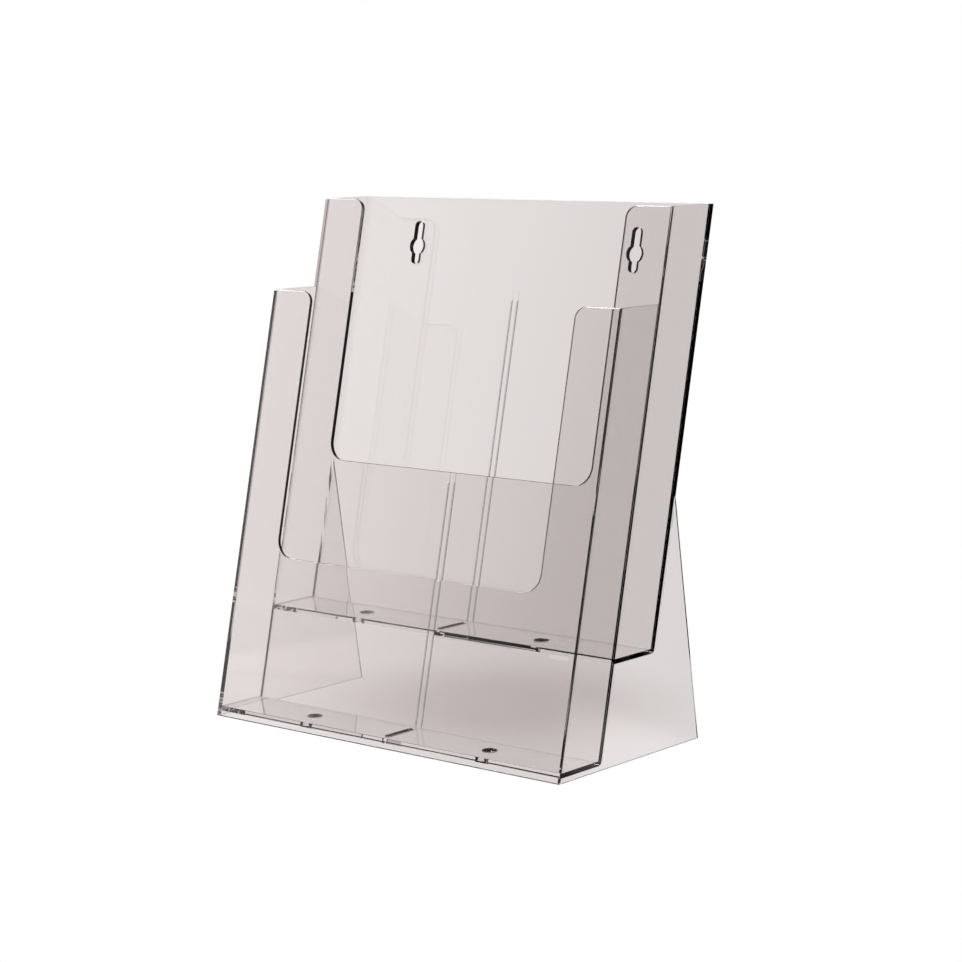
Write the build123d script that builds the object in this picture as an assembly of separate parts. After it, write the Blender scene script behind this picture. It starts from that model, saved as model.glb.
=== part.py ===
from build123d import *
import math
import os

# Two-tier countertop brochure rack, bonded from flat clear sheet.
# Units are millimetres. +Z is up, the front faces -Y and +X is to the right of a
# person who stands in front of the rack. The origin is the middle of the base.

WIDTH = 230.0                # over the outer faces of the sides
HEIGHT = 270.0               # top edges of the back and middle panels
FRONT_HEIGHT = 223.0         # top edge of the front panel
LEAN = 12.6                  # how far every panel leans back from vertical, degrees

BACK_SHEET = 3.2             # sheet thicknesses
MIDDLE_SHEET = 2.8
FRONT_SHEET = 2.2
SIDE_SHEET = 2.0
SHELF_SHEET = 2.5

FRONT_PITCH = 31.0           # from the front panel's front face to the middle panel's, level
REAR_PITCH = 32.4            # from the middle panel's front face to the back panel's, level
FRONT_SHELF_Z = 2.4          # underside of the front shelf
REAR_SHELF_Z = 50.5          # underside of the rear shelf

WINDOW_WIDTH = 175.0         # U cut-out in the front and middle panels
FRONT_BAND_Z = 86.0          # top of the band left below the front panel's cut-out
MIDDLE_BAND_Z = 133.0
WINDOW_CORNER = 10.0         # inside corners of the cut-out
LIP_CORNER = 6.0             # free corners of the two lips beside it
HEEL = 2.4                   # rounding under the back and middle panels

CHEEK_FOOT_Y = 115.3         # rear end of the cheeks' foot, from the rack's front edge
CHEEK_TOP_Z = 127.0          # where the cheeks run out on the back panel

RIB_WIDTH = 0.6              # guide ribs for a loose divider
RIB_HEIGHT = 0.6
RIB_SPACING = 3.8
BACK_RIB_TOP_Z = 218.0
MIDDLE_RIB_TOP_Z = 128.0

SLOT_WIDTH = 3.4             # divider slot in each shelf
SLOT_LENGTH = 21.0
HOLE_DIAMETER = 7.5          # fixing holes in each shelf
HOLE_SPACING = 118.0

KEYHOLE_SPACING = 146.4      # wall-fixing keyholes in the back panel
KEYHOLE_DROP = 26.4          # head hole's centre, from the top edge along the slope
KEYHOLE_HEAD = 9.4           # head hole diameter
KEYHOLE_UP_SLOT = 5.4        # width of the shank slot above the head hole
KEYHOLE_UP_REACH = 13.6      # from the head hole's centre to the end of that slot
KEYHOLE_DOWN_SLOT = 5.0
KEYHOLE_DOWN_REACH = 9.8

slope = math.tan(math.radians(LEAN))
cos_lean = math.cos(math.radians(LEAN))
sin_lean = math.sin(math.radians(LEAN))
back_y = FRONT_PITCH + REAR_PITCH            # back panel's front face at Z = 0
back_level = BACK_SHEET / cos_lean           # sheet thicknesses measured level
middle_level = MIDDLE_SHEET / cos_lean
front_level = FRONT_SHEET / cos_lean
depth = back_y + back_level + HEIGHT * slope
front_y = -depth / 2                         # the rack's front edge


def side_prism(outline, x_low, x_high):
    """Solid between two X planes from (y, z) points, with y from the front edge."""
    face = Face(Wire.make_polygon([Vector(x_low, front_y + y, z) for y, z in outline]))
    return Solid.extrude(face, Vector(x_high - x_low, 0, 0))


def leaning_outline(face_y, level, z_low, z_high):
    """Side outline of a leaning sheet whose front face meets Z = 0 at face_y."""
    return [
        (face_y + z_low * slope, z_low),
        (face_y + level + z_low * slope, z_low),
        (face_y + level + z_high * slope, z_high),
        (face_y + z_high * slope, z_high),
    ]


def leaning_sheet(face_y, level, z_low, z_high):
    outline = leaning_outline(face_y, level, z_low, z_high)
    return side_prism(outline, -WIDTH / 2, WIDTH / 2)


def round_heel(sheet):
    """Round the lower rear edge, where the sheet turns under into its shelf."""
    low_edges = sheet.edges().filter_by(Axis.X).group_by(Axis.Z)[0]
    return sheet.fillet(HEEL, [low_edges.sort_by(Axis.Y)[-1]])


def face_plane(face_y):
    """Plane on a leaning front face: X across, Y up the slope, normal to the front."""
    return Plane(
        origin=(0, front_y + face_y, 0),
        x_dir=(1, 0, 0),
        z_dir=(0, -cos_lean, sin_lean),
    )


def window_cutter(face_y, sheet, band_z, top_z):
    """U cut-out: rounded inside corners, and lips rounded over at the open top."""
    low = band_z / cos_lean
    top = top_z / cos_lean
    opening = Pos(0, (low + top) / 2) * Rectangle(WINDOW_WIDTH, top - low)
    opening = fillet(opening.vertices().group_by(Axis.Y)[0], WINDOW_CORNER)
    for side in (-1, 1):
        corner_x = side * (WINDOW_WIDTH / 2 + LIP_CORNER / 2)
        corner = Pos(corner_x, top - LIP_CORNER / 2) * Rectangle(LIP_CORNER, LIP_CORNER)
        centre_x = side * (WINDOW_WIDTH / 2 + LIP_CORNER)
        opening += corner - Pos(centre_x, top - LIP_CORNER) * Circle(LIP_CORNER)
    # The top edge is cut level, so its front arris stands above the slanted sketch.
    overrun = WINDOW_WIDTH + 2 * LIP_CORNER
    opening += Pos(0, top + sheet / 2) * Rectangle(overrun, sheet)
    return extrude(face_plane(face_y) * opening, amount=2 * sheet, both=True)


def keyhole_cutter(x, centre_v):
    """Round head hole with a shank slot above it and a shorter slot below it."""
    shape = Pos(x, centre_v) * Circle(KEYHOLE_HEAD / 2)
    for width, reach in ((KEYHOLE_UP_SLOT, KEYHOLE_UP_REACH), (KEYHOLE_DOWN_SLOT, -KEYHOLE_DOWN_REACH)):
        end_v = centre_v + math.copysign(abs(reach) - width / 2, reach)
        shape += Pos(x, (centre_v + end_v) / 2) * Rectangle(width, abs(end_v - centre_v))
        shape += Pos(x, end_v) * Circle(width / 2)
    return extrude(face_plane(back_y) * shape, amount=2 * BACK_SHEET, both=True)


def make_back_panel():
    panel = round_heel(leaning_sheet(back_y, back_level, REAR_SHELF_Z, HEIGHT))
    centre_v = HEIGHT / cos_lean - KEYHOLE_DROP
    for side in (-1, 1):
        panel -= keyhole_cutter(side * KEYHOLE_SPACING / 2, centre_v)
    return panel


def make_middle_panel():
    panel = round_heel(leaning_sheet(FRONT_PITCH, middle_level, FRONT_SHELF_Z, HEIGHT))
    return panel - window_cutter(FRONT_PITCH, MIDDLE_SHEET, MIDDLE_BAND_Z, HEIGHT)


def make_front_panel():
    panel = leaning_sheet(0, front_level, 0, FRONT_HEIGHT)
    return panel - window_cutter(0, FRONT_SHEET, FRONT_BAND_Z, FRONT_HEIGHT)


def make_shelf(panel_y, panel_level, next_panel_y, z_low):
    """Level shelf between two leaning panels, with a divider slot and two holes."""
    z_high = z_low + SHELF_SHEET
    outline = [
        (panel_y + panel_level + z_low * slope, z_low),
        (next_panel_y + z_low * slope, z_low),
        (next_panel_y + z_high * slope, z_high),
        (panel_y + panel_level + z_high * slope, z_high),
    ]
    shelf = side_prism(outline, -WIDTH / 2, WIDTH / 2)
    mid_y = front_y + sum(y for y, z in outline) / len(outline)
    cutter = SlotOverall(SLOT_LENGTH, SLOT_WIDTH, rotation=90)
    for side in (-1, 1):
        cutter += Pos(side * HOLE_SPACING / 2, 0) * Circle(HOLE_DIAMETER / 2)
    return shelf - extrude(Pos(0, mid_y, z_low) * cutter, amount=2 * SHELF_SHEET, both=True)


def make_side(side, panel_y, panel_level, next_panel_y, z_low, z_high):
    """Pocket side between two leaning panels, standing on the shelf's end."""
    outline = leaning_outline(panel_y + panel_level, next_panel_y - panel_y - panel_level, z_low, z_high)
    x_outer = side * WIDTH / 2
    x_inner = side * (WIDTH / 2 - SIDE_SHEET)
    return side_prism(outline, min(x_outer, x_inner), max(x_outer, x_inner))


def make_cheek(side, neighbours):
    """Upright foot behind the pockets; its edges follow the panels and shelves."""
    outline = [
        (0, 0),
        (CHEEK_FOOT_Y, 0),
        (back_y + back_level + CHEEK_TOP_Z * slope, CHEEK_TOP_Z),
        (back_y + (REAR_SHELF_Z + SHELF_SHEET) * slope, REAR_SHELF_Z + SHELF_SHEET),
        (FRONT_PITCH + REAR_SHELF_Z * slope, REAR_SHELF_Z),
        (FRONT_PITCH + FRONT_SHELF_Z * slope, FRONT_SHELF_Z),
        (FRONT_SHELF_Z * slope, FRONT_SHELF_Z),
    ]
    x_outer = side * WIDTH / 2
    x_inner = side * (WIDTH / 2 - SIDE_SHEET)
    cheek = side_prism(outline, min(x_outer, x_inner), max(x_outer, x_inner))
    for neighbour in neighbours:
        cheek -= neighbour
    return cheek


def make_rib(side, panel_y, z_low, z_high):
    """Thin strip standing forward of a panel, one of the pair that guides a divider."""
    height_level = RIB_HEIGHT / cos_lean
    outline = leaning_outline(panel_y - height_level, height_level, z_low, z_high)
    x_mid = side * RIB_SPACING / 2
    return side_prism(outline, x_mid - RIB_WIDTH / 2, x_mid + RIB_WIDTH / 2)


def build_parts():
    parts = {
        "back_panel": make_back_panel(),
        "middle_panel": make_middle_panel(),
        "front_panel": make_front_panel(),
        "rear_shelf": make_shelf(FRONT_PITCH, middle_level, back_y, REAR_SHELF_Z),
        "front_shelf": make_shelf(0, front_level, FRONT_PITCH, FRONT_SHELF_Z),
    }
    sheets = list(parts.values())
    rear_floor = REAR_SHELF_Z + SHELF_SHEET
    front_floor = FRONT_SHELF_Z + SHELF_SHEET
    for name, side in (("left", -1), ("right", 1)):
        parts[f"rear_pocket_side_{name}"] = make_side(
            side, FRONT_PITCH, middle_level, back_y, rear_floor, HEIGHT
        )
        parts[f"front_pocket_side_{name}"] = make_side(
            side, 0, front_level, FRONT_PITCH, front_floor, FRONT_HEIGHT
        )
        parts[f"support_cheek_{name}"] = make_cheek(side, sheets)
        parts[f"back_guide_rib_{name}"] = make_rib(side, back_y, rear_floor, BACK_RIB_TOP_Z)
        parts[f"middle_guide_rib_{name}"] = make_rib(side, FRONT_PITCH, front_floor, MIDDLE_RIB_TOP_Z)
    return parts


os.makedirs("parts", exist_ok=True)
for node, solid in build_parts().items():
    export_step(solid, f"parts/{node}.step")
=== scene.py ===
import bmesh
import bpy
import math
from mathutils import Matrix, Vector
from mathutils.bvhtree import BVHTree


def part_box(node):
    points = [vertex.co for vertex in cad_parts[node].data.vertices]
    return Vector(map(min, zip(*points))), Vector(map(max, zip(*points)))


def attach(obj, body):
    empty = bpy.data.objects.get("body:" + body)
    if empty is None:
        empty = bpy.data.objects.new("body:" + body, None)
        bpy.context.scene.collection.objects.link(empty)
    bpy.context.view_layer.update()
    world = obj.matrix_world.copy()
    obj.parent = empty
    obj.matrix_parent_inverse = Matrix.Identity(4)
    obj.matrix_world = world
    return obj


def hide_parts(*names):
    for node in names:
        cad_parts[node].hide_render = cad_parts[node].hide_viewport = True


# Two-tier brochure rack of clear plastic sheet, on a pale floor.
# Units are metres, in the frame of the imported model.

CAMERA_LOCATION = (0.83892, -0.99339, 0.31933)
CAMERA_AZIMUTH = 39.64       # round from the front towards +X, degrees
CAMERA_ELEVATION = 8.365     # above the horizon
CAMERA_ROLL = -0.481
CAMERA_LENS = 95.67          # mm
CAMERA_SENSOR = 36.0         # width, mm
CAMERA_RANGE = (0.05, 100.0)

DRAWN_IN = 0.00001           # how far every face moves inwards, so that no two pieces' faces coincide
EDGE_ROUND = 0.00025         # worn arris of the cut edges
RIM_ROUND = 0.0005           # moulded rims of the two panels with a cut-out
RIB_ROUND = 0.00012
ROOM_TO_ROUND = 1.3          # shortest edge next to a rounded one, in roundings
SHARP_ANGLE = math.radians(30)

FLAT_ANGLE = 0.01            # radians between faces that are joined into one
SAME_PLACE = 0.000001        # points and planes nearer than this are the same
PARALLEL = 0.99999           # cosine between two normals that count as parallel
LARGE_FACE = 0.00002         # square metres; a neighbour's smaller faces cut nothing
PROBE = 0.00008              # how far beyond a face its bonded neighbour is looked for
PROBE_TOWARDS = (0.3517, 0.6113, 0.7089)  # askew to every face
PLAIN_FACE = 0               # the order of every piece's two materials
BONDED_FACE = 1

PLASTIC_IOR = 1.49
PANEL_COLOR = (0.885, 0.862, 0.862)      # a faint warm grey, once for each sheet crossed
SIDE_COLOR = (0.95, 0.932, 0.932)        # thinner sheet
SHEET_WAVES = (9.0, 0.0001)              # scale over a metre, and height
RIB_WAVES = (40.0, 0.00002)
RUBBED_SCALE = 34.0
RUBBED_DETAIL = 5.0
RUBBED_REACH = (0.45, 0.75)              # noise at which rubbing begins and is full
RUBBED_ROUGHNESS = 0.03

MOST_CROSSINGS = 48                      # of surfaces, by one ray
MOST_REFLECTIONS = 16                    # light guided further along inside a sheet is lost
MOST_BONDED_FACES = 64

BACKDROP_SEEN = (1.0, 1.0, 1.0)          # seen past the rack
BACKDROP_PAINTED_SHADE = (0.862, 0.832, 0.828)  # backdrop and floor painted in shade where seen through the plastic
FLOOR_HALF_WIDTH = 12.0
FLOOR_Z = -0.00005
FLOOR_PAINTED_SHADOW = (0.82, 0.79, 0.79)         # painted shadow on the floor under the rack: share of that colour left there
FLOOR_PAINTED_SHADOW_CENTRE = (-0.02, 0.05, 0.0)
FLOOR_PAINTED_SHADOW_REACH = (0.03, 0.13)         # full within the first radius, gone past the second
FAR_SHADE_CENTRE = (-3.16, 3.61, 0.0)    # where the floor far behind is shaded for the camera too
FAR_SHADE_REACH = (0.95, 1.9)
FAR_SHADE_STRETCH = 0.1                  # its width over its length

# What the plastic mirrors. Azimuths are from +X towards +Y, in degrees.
MIRRORED_DARK = (0.012, 0.01, 0.01)
BACK_LEFT = (130.0, 18.0, 34.0, (0.86, 0.83, 0.82))      # azimuth, full within, gone past, colour
BACK_RIGHT = (50.0, 25.0, 45.0, (0.55, 0.50, 0.49))
LEFT = (180.0, 10.0, 26.0, (0.70, 0.67, 0.66))
RIGHT = (0.0, 10.0, 26.0, (0.70, 0.67, 0.66))
FRONT_LEFT = (-130.0, 15.0, 30.0, (0.12, 0.11, 0.11))
STRIP_LIGHT = (-143.0, 4.0, 16.0, (1.7, 1.65, 1.63))
OVERHEAD_TOWARDS = (-0.63, -0.15, 0.762)
OVERHEAD_REACH = (0.82, 0.92)            # cosines of the angles from there where it begins and is full
OVERHEAD_BEHIND = (2.6, 2.55, 2.5)       # seen through the plastic
OVERHEAD_MIRRORED = (14.0, 13.7, 13.5)
GUIDED_FROM = 5                          # from so many reflections on, light has run along inside a sheet

BODY = "root"


def new_material(name):
    mat = bpy.data.materials.new(name)
    mat.use_nodes = True
    mat.node_tree.nodes.clear()
    return mat, mat.node_tree.nodes, mat.node_tree.links


def clear_plastic(name, colour, wave_scale, wave_height):
    """Clear moulded plastic: a faint tint, slow waves and rubbed patches."""
    mat, nodes, links = new_material(name)
    output = nodes.new("ShaderNodeOutputMaterial")
    shader = nodes.new("ShaderNodeBsdfPrincipled")
    shader.inputs["Base Color"].default_value = (*colour, 1.0)
    shader.inputs["Transmission Weight"].default_value = 1.0
    shader.inputs["IOR"].default_value = PLASTIC_IOR
    links.new(shader.outputs["BSDF"], output.inputs["Surface"])

    place = nodes.new("ShaderNodeTexCoord")
    waves = nodes.new("ShaderNodeTexNoise")
    waves.inputs["Scale"].default_value = wave_scale
    waves.inputs["Detail"].default_value = 1.0
    links.new(place.outputs["Object"], waves.inputs["Vector"])
    bump = nodes.new("ShaderNodeBump")
    bump.inputs["Strength"].default_value = 1.0
    bump.inputs["Distance"].default_value = wave_height
    links.new(waves.outputs["Fac"], bump.inputs["Height"])
    links.new(bump.outputs["Normal"], shader.inputs["Normal"])

    rubbed = nodes.new("ShaderNodeTexNoise")
    rubbed.inputs["Scale"].default_value = RUBBED_SCALE
    rubbed.inputs["Detail"].default_value = RUBBED_DETAIL
    links.new(place.outputs["Object"], rubbed.inputs["Vector"])
    roughness = nodes.new("ShaderNodeMapRange")
    roughness.inputs["From Min"].default_value = RUBBED_REACH[0]
    roughness.inputs["From Max"].default_value = RUBBED_REACH[1]
    roughness.inputs["To Min"].default_value = 0.0
    roughness.inputs["To Max"].default_value = RUBBED_ROUGHNESS
    links.new(rubbed.outputs["Fac"], roughness.inputs["Value"])
    links.new(roughness.outputs["Result"], shader.inputs["Roughness"])
    return mat


def bonded_face(name):
    """The welded faces between two pieces, which light passes without bending."""
    mat, nodes, links = new_material(name)
    output = nodes.new("ShaderNodeOutputMaterial")
    shader = nodes.new("ShaderNodeBsdfTransparent")
    links.new(shader.outputs["BSDF"], output.inputs["Surface"])
    return mat


def cleaned(node):
    """A closed bmesh of a CAD node, with its triangles joined into flat faces."""
    mesh = bmesh.new()
    mesh.from_mesh(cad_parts[node].data)
    bmesh.ops.remove_doubles(mesh, verts=mesh.verts, dist=SAME_PLACE)
    bmesh.ops.dissolve_limit(mesh, angle_limit=FLAT_ANGLE, verts=mesh.verts, edges=mesh.edges)
    bmesh.ops.recalc_face_normals(mesh, faces=mesh.faces)
    return mesh


def boxes_touch(a, b):
    low_a, high_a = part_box(a)
    low_b, high_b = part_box(b)
    return all(
        low_a[i] <= high_b[i] + PROBE and low_b[i] <= high_a[i] + PROBE for i in range(3)
    )


def is_inside(tree, point):
    """Whether a point is inside a closed mesh: an odd number of faces lie one way."""
    direction = Vector(PROBE_TOWARDS).normalized()
    crossings = 0
    start = point
    while True:
        hit = tree.ray_cast(start, direction)
        if hit[0] is None:
            return crossings % 2 == 1
        crossings += 1
        start = hit[0] + direction * SAME_PLACE


def planes_of(neighbours, shapes):
    """A point and a normal of every plane that a large face of a neighbour lies in."""
    planes = []
    for other in neighbours:
        for face in shapes[other].faces:
            point, normal = face.calc_center_median(), face.normal.copy()
            known = any(
                abs(normal.dot(n)) >= PARALLEL and abs(n.dot(point - p)) <= SAME_PLACE
                for p, n in planes
            )
            if face.calc_area() > LARGE_FACE and not known:
                planes.append((point, normal))
    return planes


def mark_bonded_faces(mesh, neighbours, shapes):
    """Sets each face's material by whether a neighbour is just beyond its centre."""
    trees = [BVHTree.FromBMesh(shapes[other]) for other in neighbours]
    for face in mesh.faces:
        probe = face.calc_center_median() + face.normal * PROBE
        bonded = any(is_inside(tree, probe) for tree in trees)
        face.material_index = BONDED_FACE if bonded else PLAIN_FACE


def outline_shape(node, shapes):
    """Cuts a node's faces along its neighbours' faces and marks the bonded ones."""
    mesh = shapes[node].copy()
    neighbours = [other for other in shapes if other != node and boxes_touch(node, other)]
    for point, normal in planes_of(neighbours, shapes):
        geometry = mesh.verts[:] + mesh.edges[:] + mesh.faces[:]
        bmesh.ops.bisect_plane(
            mesh, geom=geometry, dist=SAME_PLACE, plane_co=point, plane_no=normal
        )
    mesh.normal_update()
    mark_bonded_faces(mesh, neighbours, shapes)
    bmesh.ops.dissolve_limit(
        mesh,
        angle_limit=FLAT_ANGLE,
        verts=mesh.verts,
        edges=mesh.edges,
        delimit={"MATERIAL"},
    )
    return mesh


def is_free_edge(edge, edge_round):
    """Whether an edge is sharp, away from bonded faces, and has room to be rounded."""
    touching = [other.calc_length() for vertex in edge.verts for other in vertex.link_edges]
    return (
        edge.calc_face_angle(0.0) > SHARP_ANGLE
        and min(touching) > ROOM_TO_ROUND * edge_round
        and all(face.material_index == PLAIN_FACE for face in edge.link_faces)
    )


def visual_piece(node, shapes, materials, edge_round):
    """A copy of a CAD node, rounded and drawn in, that stands for the node."""
    mesh = outline_shape(node, shapes)
    bmesh.ops.bevel(
        mesh,
        geom=[edge for edge in mesh.edges if is_free_edge(edge, edge_round)],
        offset=edge_round,
        offset_type="OFFSET",
        segments=2,
        profile=0.5,
        affect="EDGES",
        clamp_overlap=False,
    )
    mesh.normal_update()
    shifts = {v: -DRAWN_IN * v.normal * v.calc_shell_factor() for v in mesh.verts}
    for vertex, shift in shifts.items():
        vertex.co += shift
    data = bpy.data.meshes.new(node + "_clear")
    mesh.to_mesh(data)
    mesh.free()
    piece = bpy.data.objects.new(node + "_clear", data)
    bpy.context.scene.collection.objects.link(piece)
    for material in materials:
        data.materials.append(material)
    data.shade_smooth()
    data.set_sharp_from_angle(angle=SHARP_ANGLE)
    weighted = piece.modifiers.new("weighted normals", "WEIGHTED_NORMAL")
    weighted.mode = "FACE_AREA"
    weighted.weight = 100
    weighted.keep_sharp = True
    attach(piece, BODY)
    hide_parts(node)


def make_camera():
    azimuth = math.radians(CAMERA_AZIMUTH)
    elevation = math.radians(CAMERA_ELEVATION)
    roll = math.radians(CAMERA_ROLL)
    back = Vector((
        math.sin(azimuth) * math.cos(elevation),
        -math.cos(azimuth) * math.cos(elevation),
        math.sin(elevation),
    ))
    right = (-back).cross(Vector((0, 0, 1))).normalized()
    up = back.cross(right)
    turned_right = math.cos(roll) * right + math.sin(roll) * up
    turned_up = -math.sin(roll) * right + math.cos(roll) * up
    data = bpy.data.cameras.new("camera")
    data.sensor_width = CAMERA_SENSOR
    data.lens = CAMERA_LENS
    data.clip_start, data.clip_end = CAMERA_RANGE
    camera = bpy.data.objects.new("camera", data)
    axes = Matrix((turned_right, turned_up, back)).transposed().to_4x4()
    camera.matrix_world = Matrix.Translation(CAMERA_LOCATION) @ axes
    bpy.context.scene.collection.objects.link(camera)
    bpy.context.scene.camera = camera


def vector_math(nodes, links, operation, first, second=None):
    node = nodes.new("ShaderNodeVectorMath")
    node.operation = operation
    links.new(first, node.inputs[0])
    if second is not None:
        node.inputs[1].default_value = second
    return node


def smooth_step(nodes, links, value, start, full):
    """0 to 1 as a value passes from start to full, which may be the lower of the two."""
    ramp = nodes.new("ShaderNodeMapRange")
    ramp.interpolation_type = "SMOOTHSTEP"
    ramp.inputs["From Min"].default_value = start
    ramp.inputs["From Max"].default_value = full
    links.new(value, ramp.inputs["Value"])
    return ramp.outputs["Result"]


def blended(nodes, links, factor, first, second, blend="MIX"):
    """A Mix node between two colours, each of them plain or linked."""
    mix = nodes.new("ShaderNodeMix")
    mix.data_type = "RGBA"
    mix.blend_type = blend
    links.new(factor, mix.inputs["Factor"])
    for source, socket in ((first, mix.inputs["A"]), (second, mix.inputs["B"])):
        if isinstance(source, tuple):
            socket.default_value = (*source, 1.0)
        else:
            links.new(source, socket)
    return mix.outputs["Result"]


def soft_lights(nodes, links, direction, lights):
    """Dark surroundings with soft bright areas, each round an azimuth."""
    level = vector_math(nodes, links, "MULTIPLY", direction, (1.0, 1.0, 0.0))
    level = vector_math(nodes, links, "NORMALIZE", level.outputs["Vector"])
    colour = MIRRORED_DARK
    for azimuth, full, gone, light in lights:
        towards = (math.cos(math.radians(azimuth)), math.sin(math.radians(azimuth)), 0.0)
        cosine = vector_math(nodes, links, "DOT_PRODUCT", level.outputs["Vector"], towards)
        edges = math.cos(math.radians(gone)), math.cos(math.radians(full))
        share = smooth_step(nodes, links, cosine.outputs["Value"], *edges)
        colour = blended(nodes, links, share, colour, light)
    return colour


def chosen_by_path(nodes, links, seen, straight, mirrored, folded, guided):
    """The colour for the camera, through plastic, and after one, a few or many reflections."""
    path = nodes.new("ShaderNodeLightPath")
    colour = straight
    for reflections, next_colour in ((1, mirrored), (2, folded), (GUIDED_FROM, guided)):
        passed = nodes.new("ShaderNodeMath")
        passed.operation = "GREATER_THAN"
        passed.inputs[1].default_value = reflections - 0.5
        links.new(path.outputs["Glossy Depth"], passed.inputs[0])
        colour = blended(nodes, links, passed.outputs["Value"], colour, next_colour)
    return blended(nodes, links, path.outputs["Is Camera Ray"], colour, seen)


def make_world():
    world = bpy.data.worlds.new("studio")
    world.use_nodes = True
    nodes, links = world.node_tree.nodes, world.node_tree.links
    nodes.clear()
    output = nodes.new("ShaderNodeOutputWorld")
    background = nodes.new("ShaderNodeBackground")
    direction = nodes.new("ShaderNodeTexCoord").outputs["Generated"]
    cosine = vector_math(nodes, links, "DOT_PRODUCT", direction, OVERHEAD_TOWARDS)
    overhead = smooth_step(nodes, links, cosine.outputs["Value"], *OVERHEAD_REACH)
    # the backdrop seen through the plastic is painted in shade
    straight = blended(nodes, links, overhead, BACKDROP_PAINTED_SHADE, OVERHEAD_BEHIND)
    round_about = (BACK_LEFT, LEFT, RIGHT, FRONT_LEFT, STRIP_LIGHT)
    mirrored = soft_lights(nodes, links, direction, round_about)
    mirrored = blended(nodes, links, overhead, mirrored, OVERHEAD_MIRRORED)
    folded = soft_lights(nodes, links, direction, (BACK_LEFT, BACK_RIGHT))
    guided = soft_lights(nodes, links, direction, (BACK_RIGHT,))
    colour = chosen_by_path(nodes, links, BACKDROP_SEEN, straight, mirrored, folded, guided)
    links.new(colour, background.inputs["Color"])
    links.new(background.outputs["Background"], output.inputs["Surface"])
    bpy.context.scene.world = world


def near(nodes, links, place, centre, reach):
    """1 close to a point on the floor, and 0 away from it."""
    distance = vector_math(nodes, links, "DISTANCE", place, centre)
    return smooth_step(nodes, links, distance.outputs["Value"], reach[1], reach[0])


def floor_material():
    mat, nodes, links = new_material("floor")
    output = nodes.new("ShaderNodeOutputMaterial")
    emission = nodes.new("ShaderNodeEmission")
    place = nodes.new("ShaderNodeTexCoord").outputs["Object"]
    # painted shadow on the glowing floor under the rack, seen through the plastic
    painted_shadow = near(nodes, links, place, FLOOR_PAINTED_SHADOW_CENTRE, FLOOR_PAINTED_SHADOW_REACH)
    straight = blended(nodes, links, painted_shadow, BACKDROP_PAINTED_SHADE, FLOOR_PAINTED_SHADOW, "MULTIPLY")
    ellipse = nodes.new("ShaderNodeMapping")
    ellipse.vector_type = "TEXTURE"
    ellipse.inputs["Location"].default_value = FAR_SHADE_CENTRE
    heading = math.atan2(FAR_SHADE_CENTRE[1], FAR_SHADE_CENTRE[0])
    ellipse.inputs["Rotation"].default_value = (0.0, 0.0, heading)
    ellipse.inputs["Scale"].default_value = (1.0, FAR_SHADE_STRETCH, 1.0)
    links.new(place, ellipse.inputs["Vector"])
    far = near(nodes, links, ellipse.outputs["Vector"], (0.0, 0.0, 0.0), FAR_SHADE_REACH)
    # the painted shade colour also fills the shaded patch far behind the rack, seen by the camera
    seen = blended(nodes, links, far, BACKDROP_SEEN, BACKDROP_PAINTED_SHADE)
    mirrored = soft_lights(nodes, links, place, (BACK_LEFT, LEFT, RIGHT))
    folded = soft_lights(nodes, links, place, (BACK_LEFT, BACK_RIGHT))
    guided = soft_lights(nodes, links, place, (BACK_RIGHT,))
    colour = chosen_by_path(nodes, links, seen, straight, mirrored, folded, guided)
    links.new(colour, emission.inputs["Color"])
    links.new(emission.outputs["Emission"], output.inputs["Surface"])
    return mat


def make_floor():
    mesh = bpy.data.meshes.new("floor")
    half = FLOOR_HALF_WIDTH
    corners = [(-half, -half, 0), (half, -half, 0), (half, half, 0), (-half, half, 0)]
    mesh.from_pydata(corners, [], [(0, 1, 2, 3)])
    mesh.materials.append(floor_material())
    floor = bpy.data.objects.new("floor", mesh)
    floor.location.z = FLOOR_Z
    bpy.context.scene.collection.objects.link(floor)


def make_pieces():
    panel = clear_plastic("clear panel", PANEL_COLOR, *SHEET_WAVES)
    side = clear_plastic("clear side", SIDE_COLOR, *SHEET_WAVES)
    rib = clear_plastic("clear rib", PANEL_COLOR, *RIB_WAVES)
    bond = bonded_face("bonded face")
    shapes = {name: cleaned(name) for name in sorted(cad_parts)}
    for name in shapes:
        if "rib" in name:
            visual_piece(name, shapes, (rib, bond), RIB_ROUND)
        elif "side" in name or "cheek" in name:
            visual_piece(name, shapes, (side, bond), EDGE_ROUND)
        else:
            edge_round = RIM_ROUND if name in ("front_panel", "middle_panel") else EDGE_ROUND
            visual_piece(name, shapes, (panel, bond), edge_round)


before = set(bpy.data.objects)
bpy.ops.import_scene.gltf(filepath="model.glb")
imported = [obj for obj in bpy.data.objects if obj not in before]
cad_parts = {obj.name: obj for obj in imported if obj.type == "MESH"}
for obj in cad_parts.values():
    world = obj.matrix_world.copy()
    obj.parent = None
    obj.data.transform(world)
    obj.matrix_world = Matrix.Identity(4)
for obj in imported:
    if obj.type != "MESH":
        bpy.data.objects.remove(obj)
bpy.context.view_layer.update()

make_camera()
make_world()
make_floor()
make_pieces()

scene = bpy.context.scene
scene.view_settings.view_transform = "Standard"
scene.cycles.max_bounces = MOST_CROSSINGS
scene.cycles.transmission_bounces = MOST_CROSSINGS
scene.cycles.glossy_bounces = MOST_REFLECTIONS
scene.cycles.transparent_max_bounces = MOST_BONDED_FACES
scene.cycles.caustics_refractive = True
scene.cycles.caustics_reflective = True
